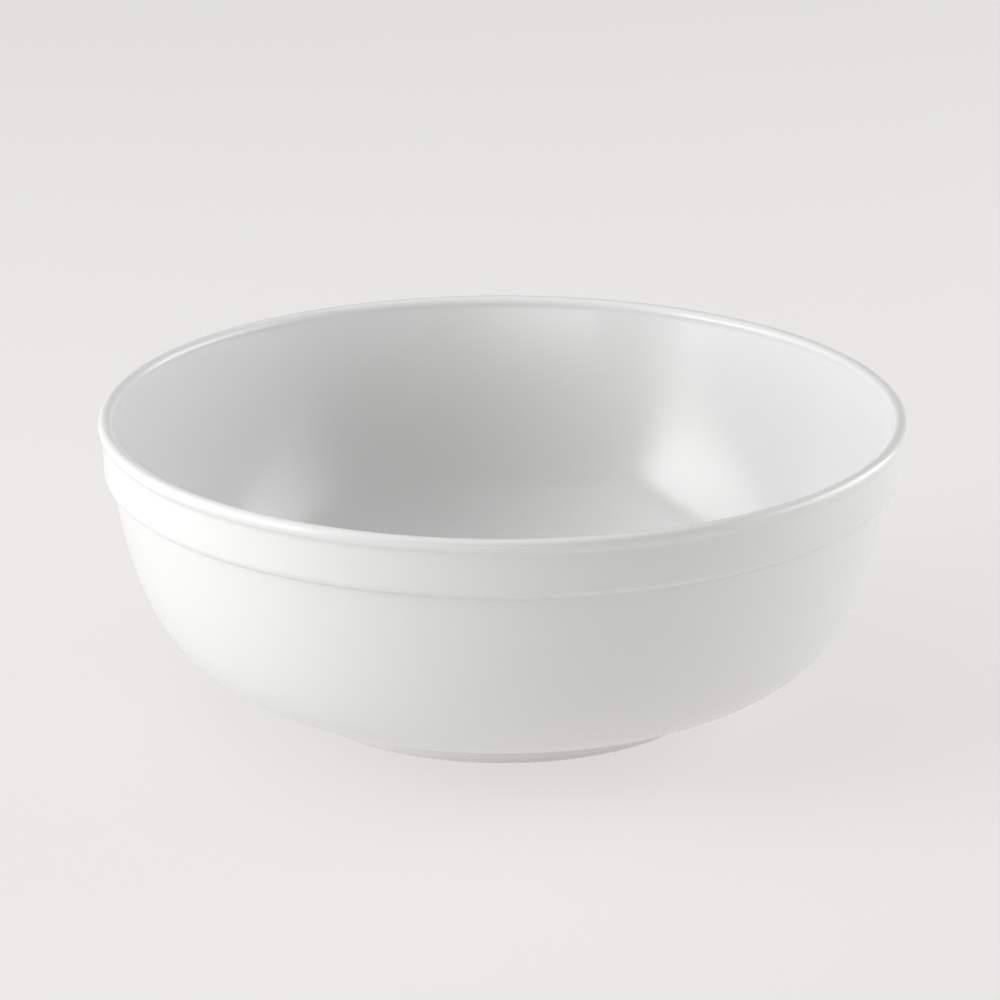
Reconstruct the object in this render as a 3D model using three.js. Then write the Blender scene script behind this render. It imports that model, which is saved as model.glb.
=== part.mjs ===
// A round porcelain serving bowl: one fired body, and the glaze fused to it.
// Millimetres, +Z up. The bowl stands on z = 0 and its axis is the Z axis.
import * as THREE from "three";

// Driving dimensions.
const RIM_RADIUS = 130; // outside of the rolled lip
const HEIGHT = 95.6; // table to the top of the lip
const GLAZE = 0.25; // from the body's surface to the glaze's
const BOND = 0.01; // kept open between the two solids, so that they share no volume
const AROUND = 48; // facets round the axis

// The lip: a round bead that stands proud of the band outside and runs smoothly into the wall inside.
const LIP_BEAD = 2.35; // radius of the bead
const LIP_OVERHANG = 1.5; // bead beyond the band
const LIP_OUTER_TURN = 45; // degrees the bead turns under itself before its fillet starts
const LIP_INNER_BEND = 8; // radius from the upright side of the bead into the wall

// The band: an upright collar under the lip, ending in a rounded nose.
const BAND_RADIUS = RIM_RADIUS - LIP_OVERHANG;
const BAND_BOTTOM = 76.1; // height of the underside of the nose
const NOSE_RADIUS = 3;
const NOSE_START = -72; // degrees, where the nose springs from the crease
const CREASE_DROP = 0.4; // top of the wall below the underside of the nose

// The outside wall: one swept curve from the foot to the crease under the nose.
const WALL_TOP_RADIUS = 125.8;
const WALL_TOP_LEAN = 8.9; // degrees from upright
const WALL_TOP_PULL = 54.1; // length of the curve's handle
const WALL_FOOT_HEIGHT = 5.3; // where the wall meets the foot
const WALL_FOOT_SLOPE = 13.2; // degrees from level
const WALL_FOOT_PULL = 31.5;

// The foot: a ring with a bare, unglazed standing edge.
const FOOT_OUTER = 67.9;
const FOOT_WIDTH = 4.6;
const FOOT_FILLET = 2;
const FOOT_EDGE = 0.7; // bevel of the bare edge
const GLAZE_LINE = 1.2; // the glaze stops this far above the table
const RECESS_DEPTH = 5;
const RECESS_FILLET = 1.5;

// The inside: a flat well that sweeps up to the lip.
const WELL_HEIGHT = 10;
const WELL_FLAT = 59; // radius of the flat
const WELL_PULL = 45;
const INNER_TOP_LEAN = 10.8;
const INNER_TOP_PULL = 51;

const BARE_COLOUR = 0xe9e7e2;
const GLAZE_COLOUR = 0xf4f4f2;

const BEAD_CENTRE = new THREE.Vector2(RIM_RADIUS - LIP_BEAD, HEIGHT - LIP_BEAD);

const radians = THREE.MathUtils.degToRad;
const point = (radius, height) => new THREE.Vector2(radius, height);

// Points on an arc about a centre, angles in degrees from outward, anticlockwise positive.
function arc(centre, radius, from, to, steps) {
  const points = [];
  for (let i = 0; i <= steps; i++) {
    const angle = radians(from + ((to - from) * i) / steps);
    points.push(point(centre.x + radius * Math.cos(angle), centre.y + radius * Math.sin(angle)));
  }
  return points;
}

// A swept curve between two points that leaves each along its own direction.
function sweep(start, startAngle, startPull, end, endAngle, endPull, steps) {
  const handle = (from, angle, pull) =>
    point(from.x + pull * Math.cos(radians(angle)), from.y + pull * Math.sin(radians(angle)));
  const leaving = handle(start, startAngle, startPull);
  const arriving = handle(end, endAngle + 180, endPull);
  return new THREE.CubicBezierCurve(start, leaving, arriving, end).getPoints(steps);
}

// The concave fillet that runs up from an upright face and turns outwards under the wall.
function footFillet(faceRadius, corner, slope, radius, steps) {
  const tangent = radius * Math.tan(radians((90 - slope) / 2));
  const centre = point(faceRadius + radius, corner - tangent);
  return arc(centre, radius, 180, 90 + slope, steps);
}

// The fillet from the band up to the bead: its radius is the one that touches both.
function underLip(steps) {
  const share = Math.cos(radians(LIP_OUTER_TURN));
  const radius = (LIP_BEAD * share - (BAND_RADIUS - BEAD_CENTRE.x)) / (1 - share);
  const drop = (LIP_BEAD + radius) * Math.sin(radians(LIP_OUTER_TURN));
  const centre = point(BAND_RADIUS + radius, BEAD_CENTRE.y - drop);
  return arc(centre, radius, 180, 180 - LIP_OUTER_TURN, steps);
}

// The finished glazed surface, from the glaze line on the foot, over the lip, to the middle of the well.
function glazedSurface() {
  const foot = footFillet(FOOT_OUTER, WALL_FOOT_HEIGHT, WALL_FOOT_SLOPE, FOOT_FILLET, 3);
  const wallTop = point(WALL_TOP_RADIUS, BAND_BOTTOM - CREASE_DROP);
  const wall = sweep(
    foot.at(-1), WALL_FOOT_SLOPE, WALL_FOOT_PULL,
    wallTop, 90 - WALL_TOP_LEAN, WALL_TOP_PULL, 10,
  );
  const noseCentre = point(BAND_RADIUS - NOSE_RADIUS, BAND_BOTTOM + NOSE_RADIUS);
  const nose = arc(noseCentre, NOSE_RADIUS, NOSE_START, 0, 3);
  const bead = arc(BEAD_CENTRE, LIP_BEAD, -LIP_OUTER_TURN, 180, 10);
  const innerCentre = point(BEAD_CENTRE.x - LIP_BEAD - LIP_INNER_BEND, BEAD_CENTRE.y);
  const overLip = arc(innerCentre, LIP_INNER_BEND, 0, -INNER_TOP_LEAN, 2);
  const inside = sweep(
    overLip.at(-1), 270 - INNER_TOP_LEAN, INNER_TOP_PULL,
    point(WELL_FLAT, WELL_HEIGHT), 180, WELL_PULL, 10,
  );
  return [
    point(FOOT_OUTER, GLAZE_LINE),
    ...foot,
    ...wall.slice(1),
    ...nose,
    ...underLip(2),
    ...bead.slice(1),
    ...overLip.slice(1),
    ...inside.slice(1),
    point(0, WELL_HEIGHT),
  ];
}

// The finished surface of the recess under the bowl, from its middle out to the glaze line.
function recessSurface() {
  const face = FOOT_OUTER - FOOT_WIDTH - GLAZE;
  const centre = point(face - RECESS_FILLET, RECESS_DEPTH - RECESS_FILLET);
  return [point(0, RECESS_DEPTH), ...arc(centre, RECESS_FILLET, 90, 0, 3), point(face, GLAZE_LINE)];
}

// The same outline moved sideways by a distance; the material lies to the left of its direction.
function inset(outline, distance) {
  return outline.map((here, i) => {
    const before = outline[Math.max(i - 1, 0)];
    const after = outline[Math.min(i + 1, outline.length - 1)];
    const arriving = here.clone().sub(before).normalize();
    const leaving = after.clone().sub(here).normalize();
    if (i === 0) arriving.copy(leaving);
    if (i === outline.length - 1) leaving.copy(arriving);
    const along = arriving.clone().add(leaving).normalize();
    const reach = distance / along.dot(arriving);
    return point(Math.max(here.x - along.y * reach, 0), here.y + along.x * reach);
  });
}

// A closed outline turned about the Z axis.
function turned(outline) {
  const geometry = new THREE.LatheGeometry(outline, AROUND);
  return geometry.rotateX(Math.PI / 2);
}

function piece(name, outline, colour, roughness) {
  const material = new THREE.MeshStandardMaterial({ color: colour, roughness, metalness: 0 });
  const mesh = new THREE.Mesh(turned(outline), material);
  mesh.name = name;
  return mesh;
}

const outerFace = glazedSurface();
const recessFace = recessSurface();

// The fired clay, with the bare standing edge between the two glazed areas.
function porcelainBody() {
  const inside = FOOT_OUTER - FOOT_WIDTH;
  const outside = FOOT_OUTER - GLAZE;
  const standingEdge = [
    point(inside, FOOT_EDGE),
    point(inside + FOOT_EDGE, 0),
    point(outside - FOOT_EDGE, 0),
    point(outside, FOOT_EDGE),
  ];
  const outline = [...inset(recessFace, GLAZE), ...standingEdge, ...inset(outerFace, GLAZE)];
  return piece("porcelain_body", outline, BARE_COLOUR, 0.75);
}

// A skin of glaze under a finished surface, its outline running from the axis back to the axis.
function glazeSkin(name, surface) {
  const underside = inset(surface, GLAZE - BOND).toReversed();
  const startsOnAxis = surface[0].x === 0;
  const outline = startsOnAxis ? [...surface, ...underside] : [...underside, ...surface];
  return piece(name, outline, GLAZE_COLOUR, 0.08);
}

const bowl = new THREE.Group();
bowl.add(
  porcelainBody(),
  glazeSkin("glaze_coat", outerFace), // outside, lip and inside
  glazeSkin("foot_recess_glaze", recessFace), // inside the foot ring
);

export default bowl;
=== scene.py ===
"""A round porcelain serving bowl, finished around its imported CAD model.

Everything is in the model's own frame: metres, +Z up, the bowl's axis on Z and its foot on z = 0.
Outlines are lists of (radius, height) pairs, with the material to the left of their direction.
"""
import math

import bpy
from mathutils import Matrix, Vector


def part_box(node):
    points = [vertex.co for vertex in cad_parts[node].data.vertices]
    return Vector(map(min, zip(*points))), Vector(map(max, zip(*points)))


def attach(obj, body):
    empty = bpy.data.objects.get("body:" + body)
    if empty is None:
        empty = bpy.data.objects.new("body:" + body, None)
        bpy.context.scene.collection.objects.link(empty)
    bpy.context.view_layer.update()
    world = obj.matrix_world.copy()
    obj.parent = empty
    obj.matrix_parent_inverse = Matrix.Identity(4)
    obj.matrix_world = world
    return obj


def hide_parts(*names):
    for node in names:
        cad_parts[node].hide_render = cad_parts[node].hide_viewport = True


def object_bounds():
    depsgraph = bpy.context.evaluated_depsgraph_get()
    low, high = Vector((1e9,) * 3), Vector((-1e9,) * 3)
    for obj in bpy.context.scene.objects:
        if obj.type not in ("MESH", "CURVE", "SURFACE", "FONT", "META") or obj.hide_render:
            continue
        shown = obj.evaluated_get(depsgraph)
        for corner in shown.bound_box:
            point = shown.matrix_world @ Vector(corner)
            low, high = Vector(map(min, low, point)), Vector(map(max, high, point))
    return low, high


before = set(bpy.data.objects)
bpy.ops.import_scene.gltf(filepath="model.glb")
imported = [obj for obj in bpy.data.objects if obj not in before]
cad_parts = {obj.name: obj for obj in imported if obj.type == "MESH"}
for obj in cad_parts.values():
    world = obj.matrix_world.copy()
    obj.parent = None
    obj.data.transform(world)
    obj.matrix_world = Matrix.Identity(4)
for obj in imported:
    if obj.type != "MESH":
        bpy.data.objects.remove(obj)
cad_low, cad_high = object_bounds()

MM = 0.001

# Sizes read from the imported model.
RIM_RADIUS = cad_high.x
HEIGHT = cad_high.z
GLAZE_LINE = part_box("glaze_coat")[0].z  # the glaze stops this far above the table
RECESS_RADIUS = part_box("foot_recess_glaze")[1].x  # inner face of the foot ring
RECESS_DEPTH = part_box("foot_recess_glaze")[1].z

# Thickness of the glaze, and the gap that the model keeps under it.
GLAZE = 0.25 * MM
BOND = 0.01 * MM

# The lip: a round bead proud of the band outside, that runs smoothly into the wall inside.
LIP_BEAD = 2.35 * MM
LIP_OVERHANG = 1.5 * MM
LIP_OUTER_TURN = 45
LIP_INNER_BEND = 8 * MM
BEAD_CENTRE = (RIM_RADIUS - LIP_BEAD, HEIGHT - LIP_BEAD)

# The band: an upright collar that ends in a rounded nose over a pooled crease.
BAND_RADIUS = RIM_RADIUS - LIP_OVERHANG
BAND_BOTTOM = HEIGHT - 19.5 * MM
NOSE_RADIUS = 3 * MM
NOSE_START = -72
CREASE_DROP = 0.4 * MM
CREASE_PULL = 0.35 * MM

# The outside wall, from the foot to the crease.
WALL_TOP_RADIUS = RIM_RADIUS - 4.2 * MM
WALL_TOP_LEAN = 8.9
WALL_TOP_PULL = 54.1 * MM
WALL_FOOT_HEIGHT = 5.3 * MM
WALL_FOOT_SLOPE = 13.2
WALL_FOOT_PULL = 31.5 * MM

# The foot ring and its bare standing edge.
FOOT_WIDTH = 4.6 * MM
FOOT_OUTER = RECESS_RADIUS + GLAZE + FOOT_WIDTH
FOOT_FILLET = 2 * MM
FOOT_EDGE = 0.7 * MM
RECESS_FILLET = 1.5 * MM

# The inside: a flat well that sweeps up to the lip.
WELL_HEIGHT = 10 * MM
WELL_FLAT = 59 * MM
WELL_PULL = 45 * MM
INNER_TOP_LEAN = 10.8
INNER_TOP_PULL = 51 * MM

AROUND = 192  # faces round the axis

# What firing does to a turned shape.
MICRON = 0.001 * MM
OUT_OF_ROUND = 0.08 * MM  # at the rim
RIM_LOBES = ((2, 0.6), (3, 2.1))  # for each wave: how many round the axis, and its phase
GLAZE_RUN = 0.3 * MM  # how much higher the glaze stops in places
RUN_REACH = 1.6 * MM
RUN_LOBES = ((5, 0.4), (9, 2.2), (17, 1.1))

# Colours, as linear light.
GLAZE_COOL = (0.742, 0.746, 0.744)
GLAZE_WARM = (0.758, 0.757, 0.752)
# painted shade: a darker grey for the crease under the band, slightly green like pooled glaze
GLAZE_CREASE_SHADE = (0.7, 0.706, 0.704)
GLAZE_THIN = (0.77, 0.762, 0.742)
BARE_DARK = (0.68, 0.665, 0.63)
BARE_LIGHT = (0.77, 0.757, 0.725)
SCUFF = (0.3, 0.29, 0.28)
SPECK = (0.12, 0.09, 0.07)

# Roughness, from the glossiest places to the dullest.
GLAZE_ROUGHNESS = (0.15, 0.2)
RECESS_ROUGHNESS = (0.2, 0.3)
BARE_ROUGHNESS = (0.62, 0.85)
LIP_WEAR = 0.05  # roughness added where the lip is worn

# The glaze: the painted shade in the crease under the band where it pools, where it thins, and how its
# surface waves.
CREASE_REACH = 1.4 * MM  # above and below the underside of the nose
LIP_REACH = 0.9 * MM  # down from the top of the lip
# how much of the painted crease shade is mixed into the glaze colour
CREASE_SHADE_SHARE = 0.6
THIN_SHARE = 0.5
TINT_DRIFT = 120 * MM  # wavelength of the slow change of tint
GLOSS_PATCH = 35 * MM
THIN_PATCH = 9 * MM
FLOW = (45 * MM, 90 * MICRON)  # wavelength and depth of its slow waves
PEEL = (3.5 * MM, 5 * MICRON)  # the same for its fine orange peel

# The recess: cloudier, with specks of kiln dust in a few of its cells.
CLOUD = 30 * MM
RECESS_GLOSS_PATCH = 12 * MM
RECESS_PEEL = (2.5 * MM, 14 * MICRON)
SPECK_CELL = 7 * MM
SPECK_FROM = 0.85  # the share of cells that hold no speck

# The bare edge: a dry grain, wiping marks round the ring, and scuffs where it touches the table.
GRAIN_SIZE = 0.5 * MM
GRAIN_DEPTH = 40 * MICRON
LINE_SPACING = 0.4 * MM
LINE_DEPTH = 15 * MICRON
SCUFF_PATCH = 8 * MM
SCUFF_REACH = 0.25 * MM
SCUFF_SHARE = 0.6


# ---- outlines ----

def along(start, angle, distance):
    """The point reached from start by going a distance at an angle in degrees from outward."""
    turn = math.radians(angle)
    return (start[0] + distance * math.cos(turn), start[1] + distance * math.sin(turn))


def arc(centre, radius, first, last, steps):
    """Points on an arc about a centre, from one angle in degrees to another."""
    return [along(centre, first + (last - first) * i / steps, radius) for i in range(steps + 1)]


def sweep(start, start_angle, start_pull, end, end_angle, end_pull, steps):
    """A cubic curve that leaves start along one direction and reaches end along another."""
    leaving = along(start, start_angle, start_pull)
    arriving = along(end, end_angle + 180, end_pull)
    points = []
    for i in range(steps + 1):
        t = i / steps
        shares = ((1 - t) ** 3, 3 * t * (1 - t) ** 2, 3 * t * t * (1 - t), t ** 3)
        corners = (start, leaving, arriving, end)
        points.append(tuple(sum(s * c[k] for s, c in zip(shares, corners)) for k in (0, 1)))
    return points


def spread(start, end, steps):
    """Evenly spaced points on a straight line, both ends included."""
    return [tuple(a + (b - a) * i / steps for a, b in zip(start, end)) for i in range(steps + 1)]


def foot_fillet(steps):
    """The concave fillet from the upright face of the foot to the underside of the wall."""
    tangent = FOOT_FILLET * math.tan(math.radians((90 - WALL_FOOT_SLOPE) / 2))
    centre = (FOOT_OUTER + FOOT_FILLET, WALL_FOOT_HEIGHT - tangent)
    return arc(centre, FOOT_FILLET, 180, 90 + WALL_FOOT_SLOPE, steps)


def under_lip(steps):
    """The concave fillet from the band up to the lip's bead; it touches both."""
    share = math.cos(math.radians(LIP_OUTER_TURN))
    radius = (LIP_BEAD * share - (BAND_RADIUS - BEAD_CENTRE[0])) / (1 - share)
    centre = along(BEAD_CENTRE, -LIP_OUTER_TURN, LIP_BEAD + radius)
    return arc(centre, radius, 180, 180 - LIP_OUTER_TURN, steps)


def glazed_surface():
    """The finished surface from the glaze line on the foot, over the lip, to the middle of the well."""
    foot = foot_fillet(10)
    wall_top = (WALL_TOP_RADIUS, BAND_BOTTOM - CREASE_DROP)
    wall = sweep(foot[-1], WALL_FOOT_SLOPE, WALL_FOOT_PULL,
                 wall_top, 90 - WALL_TOP_LEAN, WALL_TOP_PULL, 48)
    nose_centre = (BAND_RADIUS - NOSE_RADIUS, BAND_BOTTOM + NOSE_RADIUS)
    nose = arc(nose_centre, NOSE_RADIUS, NOSE_START, 0, 14)
    crease = sweep(wall_top, 90 - WALL_TOP_LEAN, CREASE_PULL,
                   nose[0], NOSE_START + 90, CREASE_PULL, 8)
    fillet = under_lip(10)
    band = spread(nose[-1], fillet[0], 6)
    bead = arc(BEAD_CENTRE, LIP_BEAD, -LIP_OUTER_TURN, 180, 45)
    inner_centre = along(BEAD_CENTRE, 180, LIP_BEAD + LIP_INNER_BEND)
    over_lip = arc(inner_centre, LIP_INNER_BEND, 0, -INNER_TOP_LEAN, 10)
    inside = sweep(over_lip[-1], 270 - INNER_TOP_LEAN, INNER_TOP_PULL,
                   (WELL_FLAT, WELL_HEIGHT), 180, WELL_PULL, 56)
    well = spread(inside[-1], (0, WELL_HEIGHT), 16)
    foot_face = spread((FOOT_OUTER, GLAZE_LINE), foot[0], 4)
    runs = (foot_face, foot[1:], wall[1:], crease[1:], nose[1:], band[1:],
            fillet[1:], bead[1:], over_lip[1:], inside[1:], well[1:])
    return [point for run in runs for point in run]


def recess_surface():
    """The finished surface under the bowl, from its middle out and down to the glaze line."""
    centre = (RECESS_RADIUS - RECESS_FILLET, RECESS_DEPTH - RECESS_FILLET)
    corner = arc(centre, RECESS_FILLET, 90, 0, 10)
    floor = spread((0, RECESS_DEPTH), corner[0], 16)
    face = spread(corner[-1], (RECESS_RADIUS, GLAZE_LINE), 4)
    return floor + corner[1:] + face[1:]


def unit(a, b):
    """The direction from one point to another, of length 1."""
    length = math.dist(a, b)
    return ((b[0] - a[0]) / length, (b[1] - a[1]) / length)


def inset(outline, distance):
    """The outline moved into the material, which lies to the left of its direction."""
    moved = []
    for i, here in enumerate(outline):
        before = outline[i - 1] if i > 0 else None
        after = outline[i + 1] if i + 1 < len(outline) else None
        arriving = unit(before, here) if before else unit(here, after)
        leaving = unit(here, after) if after else arriving
        middle = (arriving[0] + leaving[0], arriving[1] + leaving[1])
        size = math.hypot(*middle)
        side = (-middle[1] / size, middle[0] / size)
        reach = distance * size / (1 + arriving[0] * leaving[0] + arriving[1] * leaving[1])
        moved.append((max(here[0] + side[0] * reach, 0), here[1] + side[1] * reach))
    return moved


# ---- meshes ----

def wander(turn, lobes):
    """A smooth, uneven wave round the axis, between about -1 and 1."""
    parts = [math.cos(count * turn + phase) / (i + 1) for i, (count, phase) in enumerate(lobes)]
    return sum(parts) / sum(1 / (i + 1) for i in range(len(lobes)))


def fired(radius, height, turn):
    """Where a point of the outline ends up: the kiln leaves the rim very slightly out of round."""
    spread_out = OUT_OF_ROUND * height / HEIGHT * wander(turn, RIM_LOBES)
    return radius * (1 + spread_out / RIM_RADIUS), height


def glaze_run(radius, height, turn):
    """The same for the glaze, whose lower edge on the foot isn't quite level."""
    share = max(0, 1 - (height - GLAZE_LINE) / RUN_REACH) if radius < FOOT_OUTER + FOOT_FILLET else 0
    radius, height = fired(radius, height, turn)
    return radius, height + GLAZE_RUN * share * (1 + wander(turn, RUN_LOBES)) / 2


def turned(name, outline, shape):
    """A closed mesh: the outline turned about the Z axis, with one vertex at each end on the axis."""
    rings = outline[1:-1]
    vertices = [(0, 0, outline[0][1])]
    for ring_radius, ring_height in rings:
        for j in range(AROUND):
            turn = 2 * math.pi * j / AROUND
            radius, height = shape(ring_radius, ring_height, turn)
            vertices.append((radius * math.cos(turn), radius * math.sin(turn), height))
    last = len(vertices)
    vertices.append((0, 0, outline[-1][1]))

    faces = []
    for j in range(AROUND):
        k = (j + 1) % AROUND
        faces.append((0, 1 + k, 1 + j))
        for i in range(len(rings) - 1):
            low = 1 + i * AROUND
            high = low + AROUND
            faces.append((low + j, low + k, high + k, high + j))
        top = last - AROUND
        faces.append((top + j, top + k, last))

    mesh = bpy.data.meshes.new(name)
    mesh.from_pydata(vertices, [], faces)
    mesh.shade_smooth()
    piece = bpy.data.objects.new(name, mesh)
    bpy.context.scene.collection.objects.link(piece)
    return piece


def skin(name, surface):
    """A skin of glaze under a finished surface that starts or ends on the axis; its lower edge is round."""
    underside = inset(surface, GLAZE - BOND)[::-1]
    inner, outer = (surface, underside) if surface[0][0] == 0 else (underside, surface)
    half = (outer[0][0] - inner[-1][0]) / 2
    edge = arc((inner[-1][0] + half, GLAZE_LINE + half), half, 180, 360, 8)
    return turned(name, inner[:-1] + edge + outer[1:], glaze_run)


def finish_piece(piece, node, material):
    """Puts a piece in the place of its CAD node."""
    piece.data.materials.append(material)
    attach(piece, "root")
    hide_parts(node)


# ---- materials ----

def add(tree, kind, settings=None, **inputs):
    """A new node. Settings are its own properties; inputs are values, or outputs of other nodes."""
    node = tree.nodes.new("ShaderNode" + kind)
    for name, value in (settings or {}).items():
        setattr(node, name, value)
    for name, value in inputs.items():
        socket = node.inputs[int(name[1:])] if name[1:].isdigit() else node.inputs[name.replace("_", " ")]
        if isinstance(value, bpy.types.NodeSocket):
            tree.links.new(value, socket)
        else:
            socket.default_value = value
    return node


def new_material(name):
    """A material, its node tree, its shader, and the place on the bowl in metres."""
    material = bpy.data.materials.new(name)
    material.use_nodes = True
    tree = material.node_tree
    place = add(tree, "TexCoord").outputs["Object"]
    return material, tree, tree.nodes["Principled BSDF"], place


def noise_at(tree, place, wavelength, detail=2.0):
    """Soft noise of about a given wavelength, in metres."""
    return add(tree, "TexNoise", Vector=place, Scale=1 / wavelength, Detail=detail).outputs["Fac"]


def remap(tree, value, low, high, new_low, new_high):
    """A value eased from one range to another, and held at its ends."""
    settings = {"interpolation_type": "SMOOTHSTEP"}
    node = add(tree, "MapRange", settings, Value=value, From_Min=low, From_Max=high,
               To_Min=new_low, To_Max=new_high)
    return node.outputs["Result"]


def patches(tree, place, wavelength, detail=2.0, between=(0, 1)):
    """Soft patches of about a given wavelength, that use the whole range between two values."""
    return remap(tree, noise_at(tree, place, wavelength, detail), 0.3, 0.7, *between)


def maths(tree, operation, first, second):
    return add(tree, "Math", {"operation": operation}, _0=first, _1=second).outputs["Value"]


def blend(tree, share, first, second):
    """One colour turning into another as the share goes from 0 to 1."""
    node = add(tree, "Mix", {"data_type": "RGBA"}, Factor=share)
    for socket, colour in zip([i for i in node.inputs if i.type == "RGBA"], (first, second)):
        if isinstance(colour, bpy.types.NodeSocket):
            tree.links.new(colour, socket)
        else:
            socket.default_value = (*colour, 1)
    return [output for output in node.outputs if output.type == "RGBA"][0]


def distance_from_axis(tree, place):
    level = add(tree, "VectorMath", {"operation": "MULTIPLY"}, _0=place, _1=(1, 1, 0))
    length = add(tree, "VectorMath", {"operation": "LENGTH"}, _0=level.outputs["Vector"])
    return length.outputs["Value"]


def height_of(tree, place):
    return add(tree, "SeparateXYZ", Vector=place).outputs["Z"]


def relief(tree, height, depth, under=None):
    """A bump whose height runs from 0 to 1 over a depth in metres."""
    node = add(tree, "Bump", Height=height, Distance=depth, Strength=1.0)
    if under is not None:
        tree.links.new(under, node.inputs["Normal"])
    return node.outputs["Normal"]


def waves(tree, place, size, detail, under=None):
    """Soft waves in a surface; their size is a (wavelength, depth)."""
    wavelength, depth = size
    return relief(tree, noise_at(tree, place, wavelength, detail), depth, under)


def glaze_material():
    """Clear gloss glaze over white porcelain: thin on the lip, with painted shade in the crease under the
    band.
    """
    material, tree, shader, place = new_material("white_glaze")
    height = height_of(tree, place)
    radius = distance_from_axis(tree, place)
    colour = blend(tree, patches(tree, place, TINT_DRIFT), GLAZE_COOL, GLAZE_WARM)

    # Painted shade: the glaze is darker in the crease under the nose of the band, on the outside only; its
    # slight green tint is that of pooled glaze.
    from_crease = maths(tree, "ABSOLUTE", maths(tree, "SUBTRACT", height, BAND_BOTTOM), 0)
    in_crease = remap(tree, from_crease, 0, CREASE_REACH, 1, 0)
    outside = remap(tree, radius, WALL_TOP_RADIUS - 2 * MM, WALL_TOP_RADIUS - 1 * MM, 0, 1)
    crease_shade = maths(tree, "MULTIPLY", in_crease, outside)
    colour = blend(tree, maths(tree, "MULTIPLY", crease_shade, CREASE_SHADE_SHARE), colour, GLAZE_CREASE_SHADE)

    on_lip = remap(tree, height, HEIGHT - LIP_REACH, HEIGHT, 0, 1)
    broken = remap(tree, noise_at(tree, place, THIN_PATCH), 0.35, 0.65, 0.3, 1)
    thin = maths(tree, "MULTIPLY", on_lip, broken)
    colour = blend(tree, maths(tree, "MULTIPLY", thin, THIN_SHARE), colour, GLAZE_THIN)
    tree.links.new(colour, shader.inputs["Base Color"])

    gloss = patches(tree, place, GLOSS_PATCH, 4, GLAZE_ROUGHNESS)
    worn = maths(tree, "MULTIPLY", thin, LIP_WEAR)
    tree.links.new(maths(tree, "ADD", gloss, worn), shader.inputs["Roughness"])

    flow = waves(tree, place, FLOW, 1)
    tree.links.new(waves(tree, place, PEEL, 1, flow), shader.inputs["Normal"])
    return material


def recess_material():
    """The glaze under the foot: thinner and less glossy, with a few specks of kiln dust."""
    material, tree, shader, place = new_material("recess_glaze")
    colour = blend(tree, patches(tree, place, CLOUD, 3), GLAZE_COOL, GLAZE_THIN)
    cells = add(tree, "TexVoronoi", Vector=place, Scale=1 / SPECK_CELL, Randomness=1.0)
    dot = remap(tree, cells.outputs["Distance"], 0.02, 0.035, 1, 0)
    lot = add(tree, "SeparateColor", Color=cells.outputs["Color"]).outputs["Red"]
    chosen = remap(tree, lot, SPECK_FROM - 0.01, SPECK_FROM + 0.01, 0, 1)
    colour = blend(tree, maths(tree, "MULTIPLY", dot, chosen), colour, SPECK)
    tree.links.new(colour, shader.inputs["Base Color"])
    gloss = patches(tree, place, RECESS_GLOSS_PATCH, 4, RECESS_ROUGHNESS)
    tree.links.new(gloss, shader.inputs["Roughness"])
    tree.links.new(waves(tree, place, RECESS_PEEL, 2), shader.inputs["Normal"])
    return material


def bare_material():
    """Bare fired porcelain: a fine dry grain, wiping marks round the ring, and grey scuffs from tables."""
    material, tree, shader, place = new_material("bare_porcelain")
    grain = noise_at(tree, place, GRAIN_SIZE, 3)
    colour = blend(tree, remap(tree, grain, 0.3, 0.7, 0, 1), BARE_DARK, BARE_LIGHT)
    radius = distance_from_axis(tree, place)
    rings = add(tree, "TexNoise", {"noise_dimensions": "1D"}, W=radius, Scale=1 / LINE_SPACING, Detail=2.0)
    wiped = remap(tree, rings.outputs["Fac"], 0.35, 0.65, 0, 1)
    rubbed = remap(tree, noise_at(tree, place, SCUFF_PATCH, 4), 0.5, 0.68, 0, 1)
    touching = remap(tree, height_of(tree, place), 0, SCUFF_REACH, 1, 0)
    scuffed = maths(tree, "MULTIPLY", maths(tree, "MULTIPLY", rubbed, touching), SCUFF_SHARE)
    colour = blend(tree, scuffed, colour, SCUFF)
    tree.links.new(colour, shader.inputs["Base Color"])
    tree.links.new(remap(tree, wiped, 0, 1, *BARE_ROUGHNESS), shader.inputs["Roughness"])
    lines = relief(tree, wiped, LINE_DEPTH)
    tree.links.new(relief(tree, grain, GRAIN_DEPTH, lines), shader.inputs["Normal"])
    return material


# ---- the bowl ----

def standing_edge():
    """The bare foot ring between the two glazes, from its inner face round to its outer one."""
    inner = RECESS_RADIUS + GLAZE + FOOT_EDGE
    outer = FOOT_OUTER - GLAZE - FOOT_EDGE
    inner_corner = arc((inner, FOOT_EDGE), FOOT_EDGE, 180, 270, 6)
    outer_corner = arc((outer, FOOT_EDGE), FOOT_EDGE, 270, 360, 6)
    flat = spread(inner_corner[-1], outer_corner[0], 6)
    return inner_corner + flat[1:-1] + outer_corner


def build_bowl():
    outer_face = glazed_surface()
    recess_face = recess_surface()
    clay = inset(recess_face, GLAZE) + standing_edge() + inset(outer_face, GLAZE)
    finish_piece(turned("clay_body", clay, fired), "porcelain_body", bare_material())
    finish_piece(skin("outer_glaze", outer_face), "glaze_coat", glaze_material())
    finish_piece(skin("under_glaze", recess_face), "foot_recess_glaze", recess_material())


# ---- the set ----

CAMERA_DISTANCE = 1.82  # level, from the bowl's axis
CAMERA_HEIGHT = 0.68
AIM_HEIGHT = 0.065
AIM_SIDE = -0.001
LENS = 214  # millimetres, on a sensor 36 wide

FLOOR_ALBEDO = 0.27
FLOOR_GLOW = 0.56  # keeps the shadows on it weak
FLOOR_TINT = (1, 0.99, 0.972)
FLOOR_WIDTH = 16

UP = (0, 0, 1)
LEFT = (-1, 0, 0)
RIGHT = (1, 0, 0)
FRONT = (0, -1, 0)
BACK = (0, 1, 0)

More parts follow.
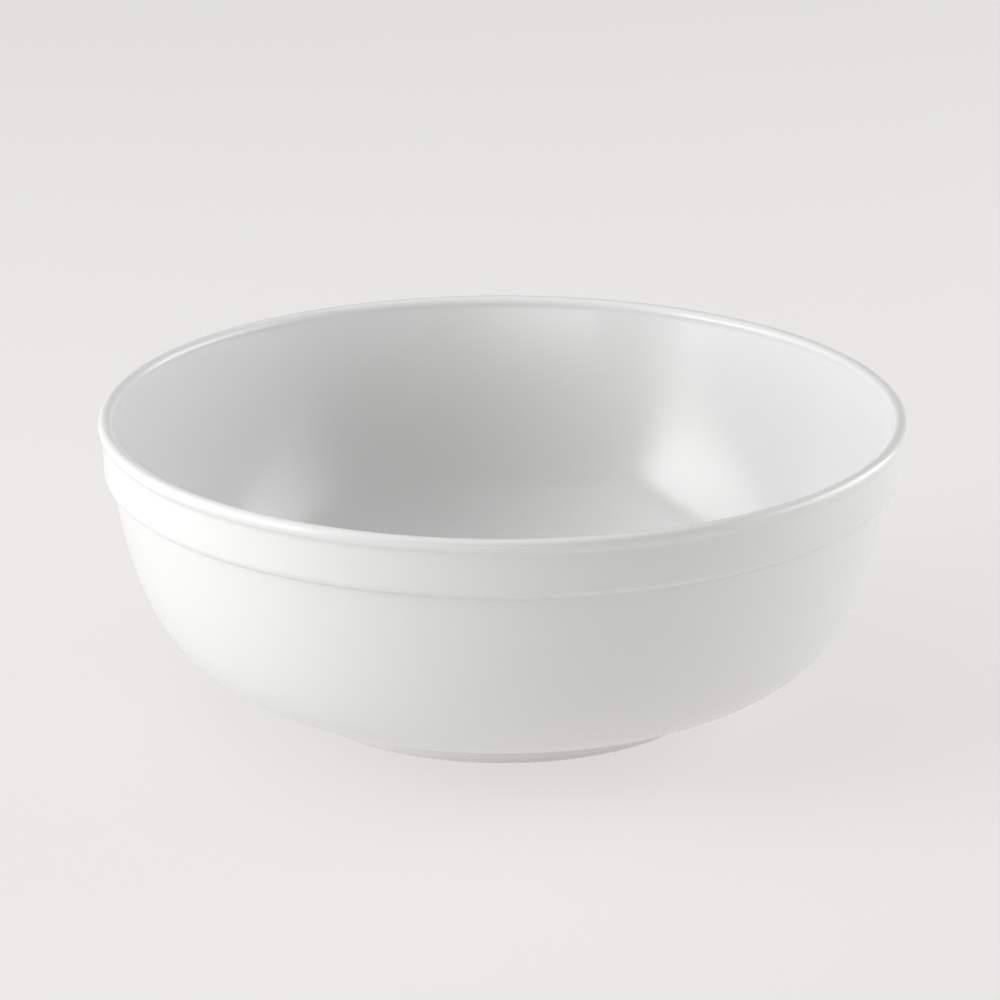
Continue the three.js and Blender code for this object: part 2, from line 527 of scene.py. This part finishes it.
TENT = 1.2  # from the bowl's axis to the lamps at its sides
SIDE_HEIGHT = 1.0  # of the lamps at the sides, which stand on the floor
TOP_HEIGHT = 1.27  # from the floor to the lamp overhead
FILL_DISTANCE = 2.4  # from the axis to the low lamp in front
FILL_HEIGHT = 0.4

ROOM = 0.09  # how bright the room is overhead
HORIZON = 0.6  # and at the horizon, where it meets the floor
# Steepness of a direction, from 0 to 1, where the horizon's brightness starts and stops falling.
HORIZON_RISE = (0.06, 0.36)


def build_camera():
    camera = bpy.data.objects.new("camera", bpy.data.cameras.new("camera"))
    camera.data.lens = LENS
    camera.data.sensor_width = 36
    camera.data.clip_end = 100
    camera.location = (0, -CAMERA_DISTANCE, CAMERA_HEIGHT)
    aim = Vector((AIM_SIDE, 0, AIM_HEIGHT)) - camera.location
    camera.rotation_euler = aim.to_track_quat("-Z", "Y").to_euler()
    bpy.context.scene.collection.objects.link(camera)
    bpy.context.scene.camera = camera


def floor_material():
    """A plain, pale top that glows a little."""
    material = bpy.data.materials.new("pale_floor")
    material.use_nodes = True
    shader = material.node_tree.nodes["Principled BSDF"]
    shader.inputs["Base Color"].default_value = (*[FLOOR_ALBEDO * part for part in FLOOR_TINT], 1)
    shader.inputs["Roughness"].default_value = 1
    shader.inputs["Specular IOR Level"].default_value = 0
    shader.inputs["Emission Color"].default_value = (*FLOOR_TINT, 1)
    shader.inputs["Emission Strength"].default_value = FLOOR_GLOW
    return material


def build_floor():
    half = FLOOR_WIDTH / 2
    mesh = bpy.data.meshes.new("floor")
    mesh.from_pydata([(-half, -half, 0), (half, -half, 0), (half, half, 0), (-half, half, 0)],
                     [], [(0, 1, 2, 3)])
    mesh.materials.append(floor_material())
    floor = bpy.data.objects.new("floor", mesh)
    bpy.context.scene.collection.objects.link(floor)


def fade(tree, position, steps):
    """A brightness along one edge of a lamp, in straight lines between (position, brightness) steps."""
    ramp = add(tree, "ValToRGB", Fac=position)
    elements = ramp.color_ramp.elements
    while len(elements) < len(steps):
        elements.new(0.5)
    for element, (place, brightness) in zip(elements, steps):
        element.position = place
        element.color = (brightness, brightness, brightness, 1)
    return ramp.outputs["Color"]


def softbox(name, centre, away, up, size, luminance, across, upwards):
    """A rectangular lamp that shines against its away direction, with a fade along each of its edges.

    As the bowl sees the lamp, the fade across runs from right to left, and the one upwards runs up.
    """
    light = bpy.data.lights.new(name, "AREA")
    light.shape = "RECTANGLE"
    light.size, light.size_y = size
    light.energy = luminance * math.pi * light.size * light.size_y
    light.use_nodes = True
    tree = light.node_tree
    place = add(tree, "NewGeometry").outputs["Parametric"]
    edges = add(tree, "SeparateXYZ", Vector=place).outputs
    brightness = maths(tree, "MULTIPLY", fade(tree, edges["X"], across), fade(tree, edges["Y"], upwards))
    tree.links.new(brightness, tree.nodes["Emission"].inputs["Strength"])

    lamp = bpy.data.objects.new(name, light)
    out = Vector(away)
    top = Vector(up)
    turn = Matrix((top.cross(out), top, out)).transposed().to_4x4()
    lamp.matrix_world = Matrix.Translation(centre) @ turn
    lamp.visible_camera = False
    bpy.context.scene.collection.objects.link(lamp)


def build_room():
    """A dim room that gets brighter towards the horizon."""
    world = bpy.data.worlds.new("room")
    world.use_nodes = True
    tree = world.node_tree
    direction = add(tree, "TexCoord").outputs["Generated"]
    low = remap(tree, height_of(tree, direction), *HORIZON_RISE, 1, 0)
    colour = blend(tree, low, (ROOM, ROOM, ROOM), (HORIZON, HORIZON, HORIZON))
    tree.links.new(colour, tree.nodes["Background"].inputs["Color"])
    bpy.context.scene.world = world


def left_softbox():
    """The strongest lamp: brightest beside the front of the bowl, and weak near the floor."""
    softbox("left_softbox", centre=(-TENT, 0.06, SIDE_HEIGHT / 2), away=LEFT, up=UP,
            size=(2.28, SIDE_HEIGHT), luminance=7.1,
            across=((0, 0), (0.35, 0.21), (0.61, 0.71), (0.81, 1), (1, 0)),
            upwards=((0, 0.25), (0.5, 1), (1, 1)))


def right_softbox():
    """Dark at its front end, and brightest beside the back of the bowl."""
    softbox("right_softbox", centre=(TENT, 0.15, SIDE_HEIGHT / 2), away=RIGHT, up=UP,
            size=(2.1, SIDE_HEIGHT), luminance=4.75,
            across=((0, 0), (0.1, 0), (0.33, 0.51), (0.62, 1), (1, 0.77)),
            upwards=((0, 0.26), (0.5, 0.93), (1, 1)))


def top_softbox():
    """Over the bowl: brightest on the left, and fading to the front and to the back."""
    softbox("top_softbox", centre=(0, 0.04, TOP_HEIGHT), away=UP, up=BACK,
            size=(2.4, 2.32), luminance=1.9,
            across=((0, 1), (0.33, 0.75), (0.67, 0.31), (1, 0)),
            upwards=((0, 0), (0.04, 0.51), (0.48, 1), (1, 0.32)))


def front_softbox():
    """A low fill on the front of the band, lip and foot, that comes mostly from the left."""
    softbox("front_softbox", centre=(0, -FILL_DISTANCE, FILL_HEIGHT / 2), away=FRONT, up=UP,
            size=(2.6, FILL_HEIGHT), luminance=3.0,
            across=((0, 1), (0.45, 0.8), (0.7, 0), (1, 0)),
            upwards=((0, 1), (1, 1)))


bpy.context.scene.view_settings.view_transform = "Standard"
build_camera()
build_floor()
build_room()
left_softbox()
right_softbox()
top_softbox()
front_softbox()
build_bowl()
